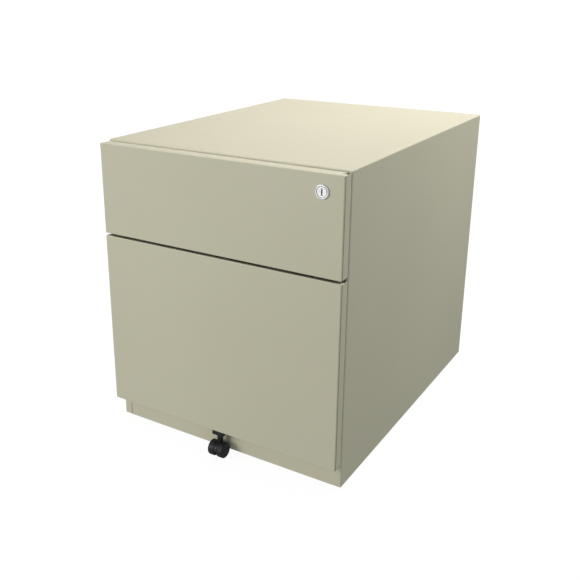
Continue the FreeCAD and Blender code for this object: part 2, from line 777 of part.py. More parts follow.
def make_wheel(pivot, side, bore_radius):
    """One wheel of the pair: rounded tread, dished outer face, bore for the axle."""
    r, inner, outer = wheel_radius, wheel_inner, wheel_outer
    bulge = math.sin(math.radians(QUARTER_TURN / 2))
    big, small = wheel_shoulder, wheel_inner_shoulder
    points = [(bore_radius, inner), (r - small, inner), (r, inner + small), (r, outer - big),
              (r - big, outer), (wheel_recess_radius, outer),
              (wheel_recess_radius, outer - wheel_recess_depth),
              (axle_recess_radius, outer - wheel_recess_depth),
              (axle_recess_radius, outer - axle_recess_depth), (bore_radius, outer - axle_recess_depth)]
    middles = {1: (r - small + small * bulge, inner + small - small * bulge),
               3: (r - big + big * bulge, outer - big + big * bulge)}
    corners = [V(x, 0, z) for z, x in points]
    edges = []
    for index, start in enumerate(corners):
        end = corners[(index + 1) % len(corners)]
        if index in middles:
            radial, along = middles[index]
            edges.append(Part.Arc(start, V(along, 0, radial), end).toShape())
        else:
            edges.append(Part.LineSegment(start, end).toShape())
    wheel = Part.Face(Part.Wire(edges)).revolve(V(0, 0, 0), X_AXIS, 4 * QUARTER_TURN)
    if side == LEFT:
        wheel.rotate(V(0, 0, 0), Z_AXIS, 2 * QUARTER_TURN)
    wheel.translate(axle_centre(pivot))
    return wheel


def make_axle(pivot):
    """Axle with a head at each end, inside the wheels' recesses.

    It is pressed into the fifth castor's fork, and into the wheels of the other four.
    """
    centre = axle_centre(pivot)
    seat = wheel_outer - axle_recess_depth + axle_head_gap
    shank = rod(axle_radius, centre - X_AXIS * seat, centre + X_AXIS * seat)
    heads = [rod(axle_head_radius, centre + X_AXIS * (side * seat),
                 centre + X_AXIS * (side * (seat + axle_head_height))) for side in SIDES.values()]
    return fused([shank] + heads)


def make_wheelset(pivot):
    """Two wheels pressed on their axle."""
    return [make_wheel(pivot, side, axle_radius) for side in SIDES.values()] + [make_axle(pivot)]


# ---- the nodes
def casing_nodes():
    nodes = {
        "outer_wrap": [make_outer_wrap()],
        "back_panel": [make_back_panel()],
        "base_pan": [make_base_pan()],
        "front_plinth": [make_front_plinth()],
        "top_front_rail": [make_top_front_rail()],
        "runner_uprights": make_runner_uprights(),
        "slide_screws": make_slide_screws(),
        "lock_bar": [make_lock_bar()] + make_lock_bar_tabs(),
        "lock_bar_guides": make_lock_bar_guides(),
        "castor_heads": [make_castor_head(pivot) for pivot in corner_pivots.values()],
        "castor_screws": [screw for pivot in corner_pivots.values() for screw in make_castor_screws(pivot)],
    }
    return nodes


def drawer_nodes(name, drawer):
    nodes = {
        name + "_front_inner": [make_front_inner(drawer)],
        name + "_tray": make_tray(drawer),
        name + "_front_screws": make_front_screws(drawer),
        name + "_tray_rivets": make_tray_rivets(drawer),
        name + "_lock_catch": [make_catch(drawer)],
        name + "_slide_outer_cages": outer_cages(drawer),
        name + "_slide_inner_cages": inner_cages(drawer),
    }
    for word, side in SIDES.items():
        nodes[name + "_" + word + "_slide_outer"] = [make_slide_outer(side, drawer)]
        nodes[name + "_" + word + "_slide_middle"] = [make_slide_middle(side, drawer)]
        nodes[name + "_" + word + "_slide_inner"] = [make_slide_inner(side, drawer)]
    return nodes


def front_nodes():
    upper, lower = DRAWERS["upper"], DRAWERS["lower"]
    hole = lock_hole(barrel_radius + screw_clearance)
    inner = make_front_inner(upper).cut(hole)
    holes = castor_screw_holes(fifth_pivot, head_screw_radius + screw_clearance)
    return {
        "upper_front_outer": [make_front_outer(upper).cut(hole)],
        "upper_front_inner": [inner],
        "upper_buffers": make_buffers(upper),
        "lower_front_outer": [cut_all(make_front_outer(lower), holes)],
        "lower_buffers": make_buffers(lower),
        "filing_rails": make_filing_rails(),
        "lock_barrel": [make_lock_barrel()],
        "lock_nut": [make_lock_nut()],
        "lock_plug": [make_lock_plug()],
        "lock_cam": [make_lock_cam()],
    }


def castor_nodes():
    nodes = {
        "fifth_castor_head": [make_castor_head(fifth_pivot)],
        "fifth_castor_screws": make_castor_screws(fifth_pivot),
        "fifth_castor_fork": [make_castor_fork(fifth_pivot, axle_radius)],
        "fifth_castor_axle": [make_axle(fifth_pivot)],
    }
    for word, side in SIDES.items():
        wheel = make_wheel(fifth_pivot, side, axle_radius + axle_clearance)
        nodes["fifth_castor_" + word + "_wheel"] = [wheel]
    for place, pivot in corner_pivots.items():
        nodes[place + "_castor_fork"] = [make_castor_fork(pivot, axle_radius + axle_clearance)]
        nodes[place + "_castor_wheels"] = make_wheelset(pivot)
    return nodes


def all_nodes():
    nodes = casing_nodes()
    for name, drawer in DRAWERS.items():
        nodes.update(drawer_nodes(name, drawer))
    nodes.update(front_nodes())
    nodes.update(castor_nodes())
    return nodes


def main():
    os.makedirs("parts", exist_ok=True)
    for name, solids in all_nodes().items():
        shape = solids[0] if len(solids) == 1 else Part.makeCompound(solids)
        shape.exportStep("parts/" + name + ".step")


main()
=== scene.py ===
"""Looks for the two-drawer pedestal: paint, zinc, fasteners, slides, lock, castors, studio and camera.

Lengths are in metres and angles in degrees unless a comment says otherwise.
"""
import json
import math

import bmesh
import bpy
from mathutils import Matrix, Vector

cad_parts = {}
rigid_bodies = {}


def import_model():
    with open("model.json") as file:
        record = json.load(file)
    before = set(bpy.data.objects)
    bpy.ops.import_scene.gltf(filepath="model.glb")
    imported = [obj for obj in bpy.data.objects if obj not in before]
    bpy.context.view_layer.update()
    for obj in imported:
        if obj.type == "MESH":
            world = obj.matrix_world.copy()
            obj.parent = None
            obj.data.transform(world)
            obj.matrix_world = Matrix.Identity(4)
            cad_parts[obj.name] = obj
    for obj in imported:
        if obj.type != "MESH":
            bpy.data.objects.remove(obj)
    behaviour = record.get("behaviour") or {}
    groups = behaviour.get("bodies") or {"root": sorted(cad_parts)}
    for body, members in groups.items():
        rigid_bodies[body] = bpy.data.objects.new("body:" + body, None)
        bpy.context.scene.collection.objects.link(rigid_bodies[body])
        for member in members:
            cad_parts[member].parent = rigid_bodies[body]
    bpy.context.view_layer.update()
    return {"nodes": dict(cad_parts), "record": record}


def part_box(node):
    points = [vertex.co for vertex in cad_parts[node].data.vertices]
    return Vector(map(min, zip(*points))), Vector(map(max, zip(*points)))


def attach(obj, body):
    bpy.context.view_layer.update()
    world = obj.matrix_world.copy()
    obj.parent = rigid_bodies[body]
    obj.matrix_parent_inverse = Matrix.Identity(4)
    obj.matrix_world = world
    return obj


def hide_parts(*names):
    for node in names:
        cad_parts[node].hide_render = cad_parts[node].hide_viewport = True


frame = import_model()
nodes = frame["nodes"]
scene = bpy.context.scene

MM = 0.001
SIDES = {"left": -1, "right": 1}
DRAWERS = ("upper", "lower")


# ---- camera
CAMERA_SIDE = 0.6353        # right of the cabinet's middle
CAMERA_AHEAD = 0.910        # in front of the casing's front plane
CAMERA_RISE = 0.7133        # above the casing's lower edge
CAMERA_AZIMUTH = 31.926     # turned to the left of square on, and down
CAMERA_ELEVATION = 18.991
CAMERA_LENS = 48.78         # focal length and sensor width are in millimetres
CAMERA_SENSOR = 36.0
CAMERA_SHIFT = (0.0515, -0.0615)
CAMERA_REACH = 300.0


def make_camera():
    low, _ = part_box("outer_wrap")
    camera = bpy.data.objects.new("camera", bpy.data.cameras.new("camera"))
    scene.collection.objects.link(camera)
    camera.location = (CAMERA_SIDE, low.y - CAMERA_AHEAD, low.z + CAMERA_RISE)
    camera.rotation_euler = (math.radians(90 - CAMERA_ELEVATION), 0, math.radians(CAMERA_AZIMUTH))
    camera.data.lens = CAMERA_LENS
    camera.data.sensor_width = CAMERA_SENSOR
    camera.data.shift_x, camera.data.shift_y = CAMERA_SHIFT
    camera.data.clip_end = CAMERA_REACH
    scene.camera = camera


# ---- materials
PAINT_PALE, PAINT_DEEP = (0.755, 0.722, 0.540), (0.735, 0.702, 0.522)
TRAY_PALE, TRAY_DEEP = (0.70, 0.67, 0.53), (0.68, 0.65, 0.51)
PAINT_SPECK_SHARE = 0.8     # brightness of a speck beside the deep tone
# Painted highlight on folded sheet: gain and lift over the pale tone.
PAINT_BEND_HIGHLIGHT_GAIN, PAINT_BEND_HIGHLIGHT_LIFT = 1.10, 0.02
PAINT_CREVICE_SHADE_SHARE = 0.06  # painted shade deep in a narrow hollow: its brightness beside the deep tone
# Reach of the occlusion test that places the painted shade.
PAINT_CREVICE_SHADE_REACH = 10.0 * MM
ZINC_DARK, ZINC_BRIGHT, ZINC_CLOUD = (0.64, 0.65, 0.67), (0.69, 0.69, 0.69), (0.58, 0.56, 0.50)
ZINC_LINE_STRETCH = (60.0, 1.0, 60.0)   # drawing lines are finer across a slide than along it
# The last colour is painted shade, for deep in the keyway and the lock's narrow clearances.
NICKEL_COOL, NICKEL_GREY, NICKEL_GAP_SHADE = (0.93, 0.93, 0.95), (0.88, 0.88, 0.90), (0.05, 0.05, 0.055)
# Reach of the occlusion test that places the nickel's painted shade.
NICKEL_CREVICE_SHADE_REACH = 3.0 * MM
NYLON_BLACK, NYLON_WORN = (0.020, 0.020, 0.022), (0.045, 0.045, 0.047)
RUBBER_BLACK, RUBBER_DUSTY = (0.03, 0.03, 0.03), (0.06, 0.06, 0.058)
CREVICE_SAMPLES = 8
BEND_FULL, BEND_NONE = 0.80, 0.98   # largest part of the normal on a folded edge and on flat sheet


class Graph:
    """A short way to write a node tree."""

    def __init__(self, name):
        self.material = bpy.data.materials.new(name)
        self.material.use_nodes = True
        self.tree = self.material.node_tree
        self.shader = self.tree.nodes["Principled BSDF"]
        self.place = self.add("ShaderNodeTexCoord").outputs["Object"]

    def add(self, kind, **settings):
        node = self.tree.nodes.new(kind)
        for key, value in settings.items():
            setattr(node, key, value)
        return node

    def join(self, source, target):
        self.tree.links.new(source, target)

    def noise(self, scale, detail=2.0, roughness=0.5, stretch=None):
        """Noise of about scale features to the metre, on axes that stretch may scale first."""
        node = self.add("ShaderNodeTexNoise")
        node.inputs["Scale"].default_value = scale
        node.inputs["Detail"].default_value = detail
        node.inputs["Roughness"].default_value = roughness
        source = self.place
        if stretch:
            mapping = self.add("ShaderNodeMapping")
            mapping.inputs["Scale"].default_value = stretch
            self.join(source, mapping.inputs["Vector"])
            source = mapping.outputs["Vector"]
        self.join(source, node.inputs["Vector"])
        return node.outputs["Fac"]

    def ramp(self, source, low, high, start, end):
        """Maps source from start..end to low..high."""
        node = self.add("ShaderNodeMapRange", interpolation_type="SMOOTHSTEP")
        for name, value in (("From Min", start), ("From Max", end), ("To Min", low), ("To Max", high)):
            node.inputs[name].default_value = value
        self.join(source, node.inputs["Value"])
        return node.outputs["Result"]

    def blend(self, factor, first, second):
        """A colour between first and second; each is a colour or a socket."""
        node = self.add("ShaderNodeMix", data_type="RGBA")
        self.join(factor, node.inputs["Factor"])
        for socket, value in ((node.inputs[6], first), (node.inputs[7], second)):
            if isinstance(value, tuple):
                socket.default_value = (*value, 1.0)
            else:
                self.join(value, socket)
        return node.outputs[2]

    def painted_shade_mask(self, reach):
        """1 in the open and 0 deep in a hollow narrower than reach; the mask for painted shade."""
        node = self.add("ShaderNodeAmbientOcclusion", samples=CREVICE_SAMPLES)
        node.inputs["Distance"].default_value = reach
        return node.outputs["AO"]

    def bends(self):
        """1 on a fold and 0 on flat sheet, from how far the normal leans off every axis; the mask for the
        painted highlight on folds.
        """
        parts = self.add("ShaderNodeSeparateXYZ")
        self.join(self.add("ShaderNodeTexCoord").outputs["Normal"], parts.inputs[0])
        largest = None
        for socket in parts.outputs:
            size = self.add("ShaderNodeMath", operation="ABSOLUTE")
            self.join(socket, size.inputs[0])
            if largest:
                most = self.add("ShaderNodeMath", operation="MAXIMUM")
                self.join(largest, most.inputs[0])
                self.join(size.outputs[0], most.inputs[1])
                largest = most.outputs[0]
            else:
                largest = size.outputs[0]
        return self.ramp(largest, 1.0, 0.0, BEND_FULL, BEND_NONE)

    def bump(self, *layers):
        """Layers of (height socket, distance in metres, strength)."""
        normal = None
        for height, distance, strength in layers:
            node = self.add("ShaderNodeBump")
            node.inputs["Distance"].default_value = distance
            node.inputs["Strength"].default_value = strength
            self.join(height, node.inputs["Height"])
            if normal:
                self.join(normal, node.inputs["Normal"])
            normal = node.outputs["Normal"]
        self.join(normal, self.shader.inputs["Normal"])

    def set(self, name, value):
        if isinstance(value, bpy.types.NodeSocket):
            self.join(value, self.shader.inputs[name])
        elif isinstance(value, tuple):
            self.shader.inputs[name].default_value = (*value, 1.0)
        else:
            self.shader.inputs[name].default_value = value


def powder_coat(name, pale, deep, roughness):
    """Satin powder coat: slow tone drift, a painted highlight on folded edges, painted shade deep in
    narrow hollows, orange peel and uneven gloss.
    """
    g = Graph(name)
    speck = tuple(c * PAINT_SPECK_SHARE for c in deep)
    # Colour of the painted highlight on folded sheet, paler than the paint.
    bend_highlight = tuple(min(1.0, c * PAINT_BEND_HIGHLIGHT_GAIN + PAINT_BEND_HIGHLIGHT_LIFT) for c in pale)
    # Colour of the painted shade deep in narrow hollows.
    gap_shade = tuple(c * PAINT_CREVICE_SHADE_SHARE for c in deep)
    drift = g.noise(3.5, detail=3.0)
    specks = g.noise(900.0, detail=1.0)
    tone = g.blend(g.ramp(drift, 0.0, 1.0, start=0.35, end=0.65), pale, deep)
    tone = g.blend(g.ramp(specks, 0.0, 0.12, start=0.45, end=0.75), tone, speck)
    # Painted highlight along folded sheet.
    tone = g.blend(g.bends(), tone, bend_highlight)
    # Painted shade deep in narrow hollows.
    tone = g.blend(g.ramp(g.painted_shade_mask(PAINT_CREVICE_SHADE_REACH), 1.0, 0.0, start=0.10, end=0.50), tone, gap_shade)
    g.set("Base Color", tone)
    gloss = g.noise(60.0, detail=3.0)
    g.set("Roughness", g.ramp(gloss, roughness - 0.05, roughness + 0.07, start=0.3, end=0.7))
    g.set("Specular IOR Level", 0.45)
    orange_peel = g.noise(420.0, detail=2.0)
    grit = g.noise(1500.0, detail=1.0)
    g.bump((orange_peel, 0.06 * MM, 0.5), (grit, 0.02 * MM, 0.4))
    return g.material


def zinc(name):
    """Bright zinc plate with a cloudy tone and fine drawing lines along the slides."""
    g = Graph(name)
    grain = g.noise(140.0, detail=4.0)
    cloud = g.noise(25.0, detail=4.0)
    tone = g.blend(g.ramp(grain, 0.0, 1.0, start=0.3, end=0.7), ZINC_DARK, ZINC_BRIGHT)
    tone = g.blend(g.ramp(cloud, 0.0, 0.30, start=0.45, end=0.7), tone, ZINC_CLOUD)
    g.set("Base Color", tone)
    g.set("Metallic", 1.0)
    lines = g.noise(40.0, detail=2.0, stretch=ZINC_LINE_STRETCH)
    g.set("Roughness", g.ramp(lines, 0.30, 0.42, start=0.3, end=0.7))
    g.bump((lines, 0.01 * MM, 0.15))
    return g.material


def satin_nickel(name):
    """Soft bright plate with painted shade in the keyway and the lock's narrow clearances."""
    g = Graph(name)
    tone = g.blend(g.noise(300.0, detail=2.0), NICKEL_COOL, NICKEL_GREY)
    # Painted shade in the keyway and narrow clearances.
    nickel_gap_shade = g.ramp(g.painted_shade_mask(NICKEL_CREVICE_SHADE_REACH), 1.0, 0.0, start=0.25, end=0.8)
    g.set("Base Color", g.blend(nickel_gap_shade, tone, NICKEL_GAP_SHADE))
    g.set("Metallic", 0.45)
    g.set("Roughness", g.ramp(g.noise(800.0, detail=2.0), 0.26, 0.38, start=0.3, end=0.7))
    g.bump((g.noise(2500.0), 0.01 * MM, 0.3))
    return g.material


def moulded_nylon(name):
    """Black moulding with scattered scuffs."""
    g = Graph(name)
    scuffs = g.ramp(g.noise(160.0, detail=4.0, roughness=0.7), 0.0, 1.0, start=0.56, end=0.72)
    g.set("Base Color", g.blend(scuffs, NYLON_BLACK, NYLON_WORN))
    g.set("Roughness", g.ramp(g.noise(240.0, detail=3.0), 0.42, 0.62, start=0.3, end=0.7))
    g.set("Specular IOR Level", 0.4)
    g.bump((g.noise(1800.0, detail=2.0), 0.03 * MM, 0.5))
    return g.material


def rubber(name):
    g = Graph(name)
    g.set("Base Color", g.blend(g.noise(500.0, detail=3.0), RUBBER_BLACK, RUBBER_DUSTY))
    g.set("Roughness", g.ramp(g.noise(700.0), 0.65, 0.85, start=0.3, end=0.7))
    g.bump((g.noise(1500.0), 0.04 * MM, 0.5))
    return g.material


materials = {
    "paint": powder_coat("powder_coat", PAINT_PALE, PAINT_DEEP, 0.48),
    "tray_paint": powder_coat("tray_powder_coat", TRAY_PALE, TRAY_DEEP, 0.52),
    "zinc": zinc("zinc_plate"),
    "chrome": satin_nickel("satin_nickel"),
    "black_nylon": moulded_nylon("black_nylon"),
    "rubber": rubber("rubber"),
}


def dress_cad_nodes():
    """Every CAD node takes its record slot's material."""
    for row in frame["record"]["subparts"]:
        mesh = nodes[row["node"]].data
        mesh.materials.clear()
        mesh.materials.append(materials[row["material_slot"]])


# ---- mesh helpers
SAME_POINT_DIGITS = 6       # of a metre; a solid's faces don't share vertices in a CAD mesh
SAME_POINT = 1e-7
SMOOTH_ANGLE = 32.0


def solid_boxes(name):
    """The low and high corner of each separate solid of a CAD node, in order of the low corner."""
    mesh = nodes[name].data
    keys = [tuple(round(c, SAME_POINT_DIGITS) for c in vertex.co) for vertex in mesh.vertices]
    parent = {key: key for key in keys}

    def root(key):
        while parent[key] != key:
            parent[key] = parent[parent[key]]
            key = parent[key]
        return key

    for face in mesh.polygons:
        first = root(keys[face.vertices[0]])
        for index in face.vertices:
            parent[root(keys[index])] = first
    groups = {}
    for key in sorted(parent):
        groups.setdefault(root(key), []).append(key)
    boxes = [(Vector(map(min, zip(*group))), Vector(map(max, zip(*group)))) for group in groups.values()]
    return sorted(boxes, key=lambda box: tuple(box[0]))


def facing(origin, direction, spin=0.0):
    """A matrix whose Z axis runs along direction from origin."""
    turn = Vector(direction).to_track_quat("Z", "Y").to_matrix().to_4x4()
    return Matrix.Translation(origin) @ turn @ Matrix.Rotation(spin, 4, "Z")


class Build:
    """Gathers the points and faces of one piece."""

    def __init__(self):
        self.points = []
        self.faces = []

    def ring(self, points):
        start = len(self.points)
        self.points += points
        return list(range(start, len(self.points)))

    def skin(self, rings):
        """Faces between closed rings; a ring of one point closes the end."""
        for low, high in zip(rings, rings[1:]):
            count = max(len(low), len(high))
            if count == 1:
                continue
            for i in range(count):
                j = (i + 1) % count
                if len(low) == 1:
                    self.faces.append((low[0], high[j], high[i]))
                elif len(high) == 1:
                    self.faces.append((low[i], low[j], high[0]))
                else:
                    self.faces.append((low[i], low[j], high[j], high[i]))

    def turned(self, place, profile, steps, shape=None, closed=False):
        """A profile of (radius, height) turned round place's Z axis; shape may move each point."""
        rings = []
        for radius, height in profile:
            count = steps if radius > 0 else 1
            points = []
            for i in range(count):
                turn = 2 * math.pi * i / steps
                point = Vector((radius * math.cos(turn), radius * math.sin(turn), height))
                points.append(place @ (shape(point) if shape else point))
            rings.append(self.ring(points))
        self.skin(rings + rings[:1] if closed else rings)

    def swept(self, outline, start, end):
        """A closed outline of (x, z) carried from y = start to y = end."""
        rings = [self.ring([Vector((x, y, z)) for x, z in outline]) for y in (start, end)]
        self.skin(rings)
        self.faces.append(tuple(reversed(rings[0])))
        self.faces.append(tuple(rings[-1]))

    def finish(self, name, body, slot, replaced, angle=SMOOTH_ANGLE):
        """Makes the object, in place of the CAD nodes in replaced, and rides it on a body."""
        mesh = bpy.data.meshes.new(name)
        mesh.from_pydata([tuple(p) for p in self.points], [], self.faces)
        tidy = bmesh.new()
        tidy.from_mesh(mesh)
        bmesh.ops.remove_doubles(tidy, verts=tidy.verts, dist=SAME_POINT)
        bmesh.ops.recalc_face_normals(tidy, faces=tidy.faces)
        tidy.to_mesh(mesh)
        tidy.free()
        mesh.polygons.foreach_set("use_smooth", [True] * len(mesh.polygons))
        mesh.set_sharp_from_angle(angle=math.radians(angle))
        mesh.materials.append(materials[slot])
        piece = bpy.data.objects.new(name, mesh)
        scene.collection.objects.link(piece)
        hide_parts(*replaced)
        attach(piece, body)


# ---- screws, rivets and buffers
SCREW_PITCH = 0.7 * MM
THREAD_DEPTH = 0.22 * MM
RECESS_ARM = 1.45 * MM
RECESS_HALF_WIDTH = 0.36 * MM
RECESS_DEPTH = 0.9 * MM
RECESS_TAPER = 0.45         # share of the depth lost at the end of an arm
RECESS_FLOOR = 0.5          # only points above this share of the head's height are pressed in
PAN_HEAD = (0.47, 0.526)    # height and shank radius as shares of the head's radius
BUTTON_HEAD = (0.6, 0.6)    # the same, for the upright screws
CROWN_RISE = 0.3            # share of the head's height
CROWN_REACH = 0.86          # share of the head's radius
CROWN_ROWS = 14
HEAD_RIM = ((0.95, 0.62), (1.0, 0.40), (1.0, 0.08), (0.97, 0.0))    # shares of radius and height
THREAD_ROWS_PER_PITCH = 4
FEWEST_THREAD_ROWS = 6
SHANK_TIP = 0.6             # share of the shank's radius
SCREW_STEPS = 40
SCREW_TURN = 37.0           # from one screw to the next
RECESS_REPEAT = 90.0        # the turn after which a cross recess looks the same
# A rivet's two ends, in shares of its radius and of the edge's thickness from the end.
RIVET_EDGE = 0.9 * MM
RIVET_HEAD = ((0.0, 0.0), (0.35, 0.03), (0.62, 0.12), (0.85, 0.38), (0.96, 0.68), (1.0, 1.0), (0.53, 1.0))
RIVET_TAIL = ((0.53, 1.0), (1.0, 1.0), (0.95, 0.62), (0.7, 0.2), (0.34, 0.0), (0.30, 0.5), (0.0, 0.6))
RIVET_STEPS = 32
# A buffer from the front to its hollowed face, in shares of its radius and depth.
BUFFER_PROFILE = ((0.0, 0.0), (0.96, 0.0), (1.0, 0.06), (0.99, 0.55), (0.93, 0.86), (0.82, 1.0),
                  (0.5, 0.93), (0.3, 0.86), (0.0, 0.84))
BUFFER_STEPS = 40


def threaded(point, pitch, depth_share):
    """A point on a shank moved in by its place on a thread; depth_share is of the radius."""
    phase = (point.z / pitch + math.atan2(point.y, point.x) / (2 * math.pi)) % 1.0
    cut = 1.0 - depth_share * (1.0 - abs(2.0 * phase - 1.0))
    return Vector((point.x * cut, point.y * cut, point.z))


def add_screw(build, seat, direction, head_radius, head_height, radius, length, spin):
    """A domed head with a cross recess standing on seat, and a threaded shank along direction."""
    crown = CROWN_RISE * head_height
    profile = [(0.0, head_height)]
    for i in range(1, CROWN_ROWS + 1):
        r = CROWN_REACH * head_radius * i / CROWN_ROWS
        profile.append((r, head_height - crown * (r / head_radius) ** 2))
    profile += [(across * head_radius, up * head_height) for across, up in HEAD_RIM]
    profile.append((radius, 0.0))
    rows = max(FEWEST_THREAD_ROWS, int(THREAD_ROWS_PER_PITCH * length / SCREW_PITCH))
    profile += [(radius, -length * i / rows) for i in range(1, rows + 1)]
    profile += [(SHANK_TIP * radius, -length), (0.0, -length)]

    def shape(point):
        arm = max(abs(point.x), abs(point.y))
        width = min(abs(point.x), abs(point.y))
        if point.z > RECESS_FLOOR * head_height and arm < RECESS_ARM and width < RECESS_HALF_WIDTH:
            taper = 1.0 - RECESS_TAPER * arm / RECESS_ARM
            return Vector((point.x, point.y, point.z - RECESS_DEPTH * taper))
        if -length < point.z < 0:
            return threaded(point, SCREW_PITCH, THREAD_DEPTH / radius)
        return point

    build.turned(facing(seat, -Vector(direction), spin), profile, SCREW_STEPS, shape)


def make_screws(name, body, axis, head, head_low):
    """Replaces a node of screws along one axis; head_low says whether the head is at the low end."""
    build = Build()
    head_share, shank_share = head
    for index, (low, high) in enumerate(solid_boxes(name)):
        centre, size = (low + high) / 2, high - low
        head_radius = min(size[i] for i in range(3) if i != axis) / 2
        head_height = head_radius * head_share
        at_low = head_low(centre)
        direction = Vector((0.0, 0.0, 0.0))
        direction[axis] = 1.0 if at_low else -1.0
        seat = centre.copy()
        seat[axis] = low[axis] + head_height if at_low else high[axis] - head_height
        add_screw(build, seat, direction, head_radius, head_height, head_radius * shank_share,
                  size[axis] - head_height, math.radians((SCREW_TURN * index) % RECESS_REPEAT))
    build.finish(name + "_detailed", body, "zinc", (name,))


def make_rivets(name, body):
    """Blind rivets across the tray's walls: a domed head, a shank and a rolled tail."""
    build = Build()
    for low, high in solid_boxes(name):
        centre, size = (low + high) / 2, high - low
        radius, half = size.y / 2, size.x / 2
        profile = [(across * radius, half - down * RIVET_EDGE) for across, down in RIVET_HEAD]
        profile += [(across * radius, up * RIVET_EDGE - half) for across, up in RIVET_TAIL]
        side = math.copysign(1.0, centre.x)
        build.turned(facing(centre, (-side, 0, 0)), profile, RIVET_STEPS)
    build.finish(name + "_domed", body, "zinc", (name,))


def make_buffers(name, body):
    """Round buffers on the back of a front, each with a hollow in its face."""
    build = Build()
    for low, high in solid_boxes(name):
        centre, size = (low + high) / 2, high - low
        profile = [(across * size.z / 2, along * size.y) for across, along in BUFFER_PROFILE]
        build.turned(facing((centre.x, low.y, centre.z), (0, 1, 0)), profile, BUFFER_STEPS)
    build.finish(name + "_moulded", body, "rubber", (name,))


def make_fasteners():
    make_screws("slide_screws", "cabinet", 0, PAN_HEAD, lambda centre: centre.x < 0)
    make_screws("castor_screws", "cabinet", 2, BUTTON_HEAD, lambda centre: True)
    make_screws("fifth_castor_screws", "lower_drawer", 2, BUTTON_HEAD, lambda centre: True)
    for drawer in DRAWERS:
        make_screws(drawer + "_front_screws", drawer + "_drawer", 1, PAN_HEAD, lambda centre: False)
        make_rivets(drawer + "_tray_rivets", drawer + "_drawer")
        make_buffers(drawer + "_buffers", drawer + "_drawer")


# ---- slides
# Each member's gauge, how far its lips turn in, and how high its web's bead stands.
OUTER_SHEET = (1.2 * MM, 0.8 * MM, 0.7 * MM)
MIDDLE_SHEET = (1.1 * MM, 0.6 * MM, 0.4 * MM)
INNER_SHEET = (1.1 * MM, 0.0, 0.0)
BEND_RADIUS = 1.2           # of a channel's bends, in gauges
LIP_STEPS = 8
BEND_STEPS = 5
BEAD_START, BEAD_FLAT = 0.44, 0.34  # heights at which the bead begins and is full, in half heights
CHANNEL_SMOOTH_ANGLE = 25.0


def channel_line(reach, half, gauge, lip, bead):
    """Middle line of a rolled channel as (distance from the web's back, height), from tip to tip."""
    middle, bend = gauge / 2, BEND_RADIUS * gauge
    upper = []
    for i in range(LIP_STEPS + 1):
        distance = reach - (reach - middle - bend) * i / LIP_STEPS
        share = max(0.0, 2 * distance / reach - 1)
        upper.append((distance, half - middle - lip * share * share))
    for i in range(1, BEND_STEPS + 1):
        turn = math.pi / 2 * i / BEND_STEPS
        upper.append((middle + bend * (1 - math.sin(turn)), half - middle - bend * (1 - math.cos(turn))))
    upper += [(middle, BEAD_START * half), (middle + bead, BEAD_FLAT * half)]
    return upper + [(distance, -height) for distance, height in reversed(upper)]


def thickened(line, gauge):
    """The closed outline of a strip of even thickness along a line."""
    near, far = [], []
    for i, (a, b) in enumerate(line):
        before, after = line[max(i - 1, 0)], line[min(i + 1, len(line) - 1)]
        along = Vector((after[0] - before[0], after[1] - before[1])).normalized()
        near.append((a - along.y * gauge / 2, b + along.x * gauge / 2))
        far.append((a + along.y * gauge / 2, b - along.x * gauge / 2))
    return near + far[::-1]


def make_slide_member(name, body, sheet, opens_out):
    """A rolled ball-race channel in place of a plain one; opens_out faces its mouth to the casing."""
    low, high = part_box(name)
    side = math.copysign(1.0, low.x + high.x)
    ends = sorted((abs(low.x), abs(high.x)))
    centre = (low.z + high.z) / 2
    line = channel_line(ends[1] - ends[0], (high.z - low.z) / 2, *sheet)
    outline = []
    for distance, height in thickened(line, sheet[0]):
        x = ends[0] + distance if opens_out else ends[1] - distance
        outline.append((side * x, centre + height))
    build = Build()
    build.swept(outline, low.y, high.y)
    build.finish(name + "_rolled", body, "zinc", (name,), angle=CHANNEL_SMOOTH_ANGLE)


def make_slides():
    for drawer in DRAWERS:
        for word in SIDES:
            stem = drawer + "_" + word + "_slide_"
            make_slide_member(stem + "outer", "cabinet", OUTER_SHEET, opens_out=False)
            make_slide_member(stem + "middle", drawer + "_slide_middles", MIDDLE_SHEET, opens_out=False)
            make_slide_member(stem + "inner", drawer + "_drawer", INNER_SHEET, opens_out=True)


# ---- lock
PLUG_CLEARANCE = 0.05 * MM
WELL_WIDTH = 1.0 * MM       # of the sunk ring round the plug
# The bezel's face in millimetres: out from the bore, out from the well's wall or in from the rim,
# and back from the foremost point.
BORE_CHAMFER = ((0.0, 1.0), (0.12, 0.9))
WELL_WALL = ((-0.1, 0.9), (0.0, 0.8), (0.0, 0.2), (0.15, 0.05), (0.5, 0.0))
BEZEL_ROUND = ((0.95, 0.0), (0.45, 0.12), (0.15, 0.4), (0.0, 0.9))
BEZEL_BACK_CHAMFER = 0.1 * MM
BODY_WALL = 1.35 * MM
BODY_END_CHAMFER = 0.35 * MM
BODY_PITCH = 1.0 * MM
BODY_THREAD_SHARE = 0.035
BODY_THREAD_MARGIN = 0.2 * MM
BODY_ROWS = 72
BODY_STEPS = 72


